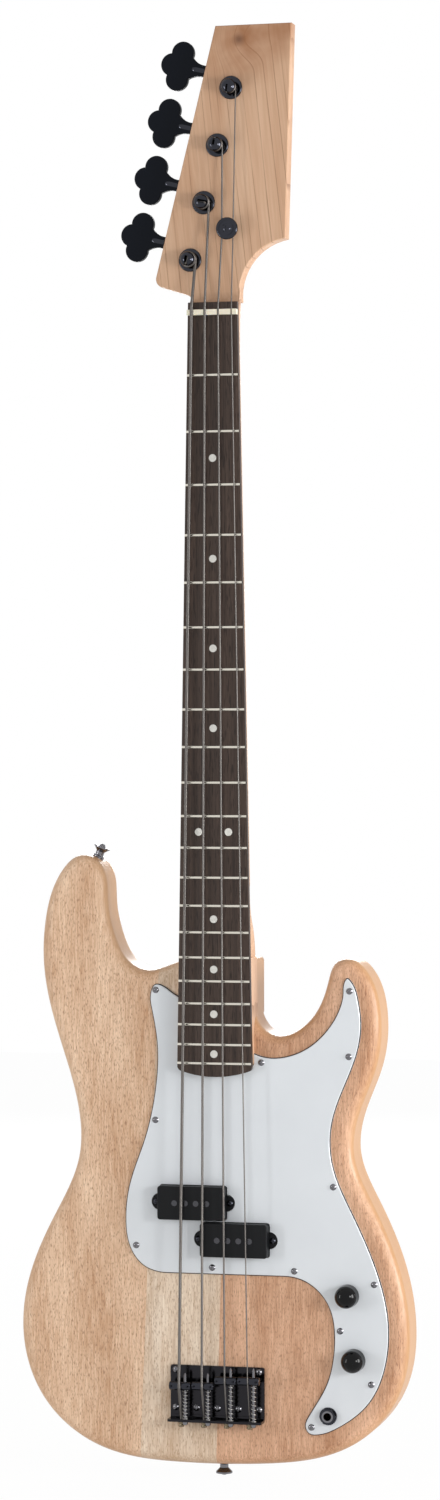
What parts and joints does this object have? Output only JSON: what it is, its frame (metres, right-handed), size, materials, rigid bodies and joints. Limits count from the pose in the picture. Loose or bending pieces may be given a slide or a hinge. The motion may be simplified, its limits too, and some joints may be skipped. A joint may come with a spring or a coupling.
{
  "type": "electric bass guitar",
  "caption": "Solid-body electric bass guitar with a bolt-on neck, uncut paddle headstock, split pickup, barrel-saddle bridge and worm-geared tuning machines.",
  "frame": {"origin": "on the nut's front edge, on the centre line, in the glue plane between fingerboard and neck", "axes": "+Z along the neck up to the headstock, +Y to the back, +X to the treble side"},
  "size_m": [0.3254, 0.0673, 1.1828],
  "materials": {
    "bare_alder_bass": "bare sanded wood, open pores",
    "bare_alder_centre": "bare sanded wood, pale",
    "bare_alder_treble": "bare sanded wood, reddish",
    "maple": "satin maple",
    "rosewood": "oiled dark board wood",
    "nickel_silver": "polished fret wire",
    "pearl_plastic": "pearl",
    "bone": "polished bone",
    "black_chrome": "dark polished metal",
    "black_paint": "gloss black",
    "black_satin": "satin black",
    "plain_steel": "plain steel",
    "string_steel": "wound steel",
    "white_plastic": "gloss white sheet with a dark line at its edge",
    "black_plastic": "satin black",
    "knob_plastic": "gloss black",
    "coil_wire": "enamelled copper wire and fibre",
    "foam": "soft foam",
    "brass": "turned brass",
    "lead": "plastic-covered lead"
  },
  "bodies": {
    "guitar": {"body_bass_plank": "bare_alder_bass", "body_centre_plank": "bare_alder_centre", "body_treble_plank": "bare_alder_treble", "neck": "maple", "truss_rod": "plain_steel", "fingerboard": "rosewood", "frets": "nickel_silver", "position_dots": "pearl_plastic", "nut": "bone", "neck_plate": "black_chrome", "neck_screws": "black_chrome", "string_tree": "black_chrome", "tuner_plates": "black_paint", "tuner_ferrules": "black_chrome", "tuner_plate_screws": "black_chrome", "bridge_plate": "black_paint", "bridge_screws": "black_paint", "intonation_springs": "plain_steel", "pickguard": "white_plastic", "pickguard_screws": "black_chrome", "pickup_pads": "foam", "potentiometers": "plain_steel", "control_nuts": "plain_steel", "jack_socket": "plain_steel", "jack_nut": "black_chrome", "wiring": "lead", "strap_buttons": "black_chrome", "strap_button_screws": "black_chrome", "string_e": "string_steel", "string_a": "string_steel", "string_d": "string_steel", "string_g": "string_steel"},
    "key_e": {"tuner_key_e": "black_satin"},
    "post_e": {"tuner_post_e": "black_chrome"},
    "key_a": {"tuner_key_a": "black_satin"},
    "post_a": {"tuner_post_a": "black_chrome"},
    "key_d": {"tuner_key_d": "black_satin"},
    "post_d": {"tuner_post_d": "black_chrome"},
    "key_g": {"tuner_key_g": "black_satin"},
    "post_g": {"tuner_post_g": "black_chrome"},
    "length_screw_e": {"intonation_screw_e": "black_chrome"},
    "saddle_e": {"saddle_e": "black_paint"},
    "length_screw_a": {"intonation_screw_a": "black_chrome"},
    "saddle_a": {"saddle_a": "black_paint"},
    "length_screw_d": {"intonation_screw_d": "black_chrome"},
    "saddle_d": {"saddle_d": "black_paint"},
    "length_screw_g": {"intonation_screw_g": "black_chrome"},
    "saddle_g": {"saddle_g": "black_paint"},
    "volume_knob": {"volume_knob": "knob_plastic"},
    "tone_knob": {"tone_knob": "knob_plastic"},
    "pickup_bass": {"pickup_cover_bass": "black_plastic", "pickup_coil_bass": "coil_wire", "pickup_poles_bass": "plain_steel", "pickup_screws_bass": "black_chrome"},
    "pickup_treble": {"pickup_cover_treble": "black_plastic", "pickup_coil_treble": "coil_wire", "pickup_poles_treble": "plain_steel", "pickup_screws_treble": "black_chrome"},
    "truss_rod_nut": {"truss_rod_nut": "brass"}
  },
  "joints": [
    {"name": "turn_key_e", "type": "hinge", "parent": "guitar", "child": "key_e", "pos_m": [-0.01863, 0.0265, 0.0562], "axis": [-0.9707, 0, 0.2402], "range_deg": [-1080, 360], "deforming": ["string_e"]},
    {"name": "wind_post_e", "type": "hinge", "parent": "guitar", "child": "post_e", "pos_m": [-0.0211, 0.01, 0.0462], "axis": [0, 1, 0], "range_deg": [-54, 18], "deforming": ["string_e"]},
    {"name": "turn_key_a", "type": "hinge", "parent": "guitar", "child": "key_a", "pos_m": [-0.00717, 0.0265, 0.1025], "axis": [-0.9707, 0, 0.2402], "range_deg": [-1080, 360], "deforming": ["string_a"]},
    {"name": "wind_post_a", "type": "hinge", "parent": "guitar", "child": "post_a", "pos_m": [-0.00964, 0.01, 0.0925], "axis": [0, 1, 0], "range_deg": [-54, 18], "deforming": ["string_a"]},
    {"name": "turn_key_d", "type": "hinge", "parent": "guitar", "child": "key_d", "pos_m": [0.00429, 0.0265, 0.1488], "axis": [-0.9707, 0, 0.2402], "range_deg": [-1080, 360], "deforming": ["string_d"]},
    {"name": "wind_post_d", "type": "hinge", "parent": "guitar", "child": "post_d", "pos_m": [0.00182, 0.01, 0.13881], "axis": [0, 1, 0], "range_deg": [-54, 18], "deforming": ["string_d"]},
    {"name": "turn_key_g", "type": "hinge", "parent": "guitar", "child": "key_g", "pos_m": [0.01575, 0.0265, 0.19511], "axis": [-0.9707, 0, 0.2402], "range_deg": [-1080, 360], "deforming": ["string_g"]},
    {"name": "wind_post_g", "type": "hinge", "parent": "guitar", "child": "post_g", "pos_m": [0.01328, 0.01, 0.18511], "axis": [0, 1, 0], "range_deg": [-54, 18], "deforming": ["string_g"]},
    {"name": "slide_saddle_e", "type": "slide", "parent": "guitar", "child": "saddle_e", "axis": [0, 0, 1], "range_m": [-0.004, 0.004], "deforming": ["string_e", "intonation_springs"]},
    {"name": "turn_length_screw_e", "type": "hinge", "parent": "guitar", "child": "length_screw_e", "pos_m": [-0.02453, -0.0066, -0.88], "axis": [0, 0, 1], "range_deg": [-2060.1, 2060.2], "deforming": ["string_e", "intonation_springs"]},
    {"name": "slide_saddle_a", "type": "slide", "parent": "guitar", "child": "saddle_a", "axis": [0, 0, 1], "range_m": [-0.004, 0.004], "deforming": ["string_a", "intonation_springs"]},
    {"name": "turn_length_screw_a", "type": "hinge", "parent": "guitar", "child": "length_screw_a", "pos_m": [-0.00547, -0.0066, -0.88], "axis": [0, 0, 1], "range_deg": [-2060.1, 2060.2], "deforming": ["string_a", "intonation_springs"]},
    {"name": "slide_saddle_d", "type": "slide", "parent": "guitar", "child": "saddle_d", "axis": [0, 0, 1], "range_m": [-0.004, 0.004], "deforming": ["string_d", "intonation_springs"]},
    {"name": "turn_length_screw_d", "type": "hinge", "parent": "guitar", "child": "length_screw_d", "pos_m": [0.01358, -0.0066, -0.88], "axis": [0, 0, 1], "range_deg": [-2060.1, 2060.2], "deforming": ["string_d", "intonation_springs"]},
    {"name": "slide_saddle_g", "type": "slide", "parent": "guitar", "child": "saddle_g", "axis": [0, 0, 1], "range_m": [-0.004, 0.0014], "deforming": ["string_g", "intonation_springs"]},
    {"name": "turn_length_screw_g", "type": "hinge", "parent": "guitar", "child": "length_screw_g", "pos_m": [0.03263, -0.0066, -0.88], "axis": [0, 0, 1], "range_deg": [-723, 2060.2], "deforming": ["string_g", "intonation_springs"]},
    {"name": "turn_volume", "type": "hinge", "parent": "guitar", "child": "volume_knob", "pos_m": [0.1088, -0.005, -0.7933], "axis": [0, -1, 0], "range_deg": [-150, 150]},
    {"name": "turn_tone", "type": "hinge", "parent": "guitar", "child": "tone_knob", "pos_m": [0.1139, -0.005, -0.8452], "axis": [0, -1, 0], "range_deg": [-150, 150]},
    {"name": "height_pickup_bass", "type": "slide", "parent": "guitar", "child": "pickup_bass", "axis": [0, -1, 0], "range_m": [-0.003, 0.002], "deforming": ["pickup_pads"]},
    {"name": "height_pickup_treble", "type": "slide", "parent": "guitar", "child": "pickup_treble", "axis": [0, -1, 0], "range_m": [-0.003, 0.002], "deforming": ["pickup_pads"]},
    {"name": "turn_truss_rod_nut", "type": "hinge", "parent": "guitar", "child": "truss_rod_nut", "pos_m": [0, 0.0066, -0.605], "axis": [0, 0, 1], "range_deg": [-180, 180]}
  ],
  "couplings": [
    {"joint": "wind_post_e", "follows": "turn_key_e", "ratio": 0.05},
    {"joint": "wind_post_a", "follows": "turn_key_a", "ratio": 0.05},
    {"joint": "wind_post_d", "follows": "turn_key_d", "ratio": 0.05},
    {"joint": "wind_post_g", "follows": "turn_key_g", "ratio": 0.05},
    {"joint": "turn_length_screw_e", "follows": "slide_saddle_e", "rad_per_m": -8976},
    {"joint": "turn_length_screw_a", "follows": "slide_saddle_a", "rad_per_m": -8976},
    {"joint": "turn_length_screw_d", "follows": "slide_saddle_d", "rad_per_m": -8976},
    {"joint": "turn_length_screw_g", "follows": "slide_saddle_g", "rad_per_m": -8976}
  ]
}
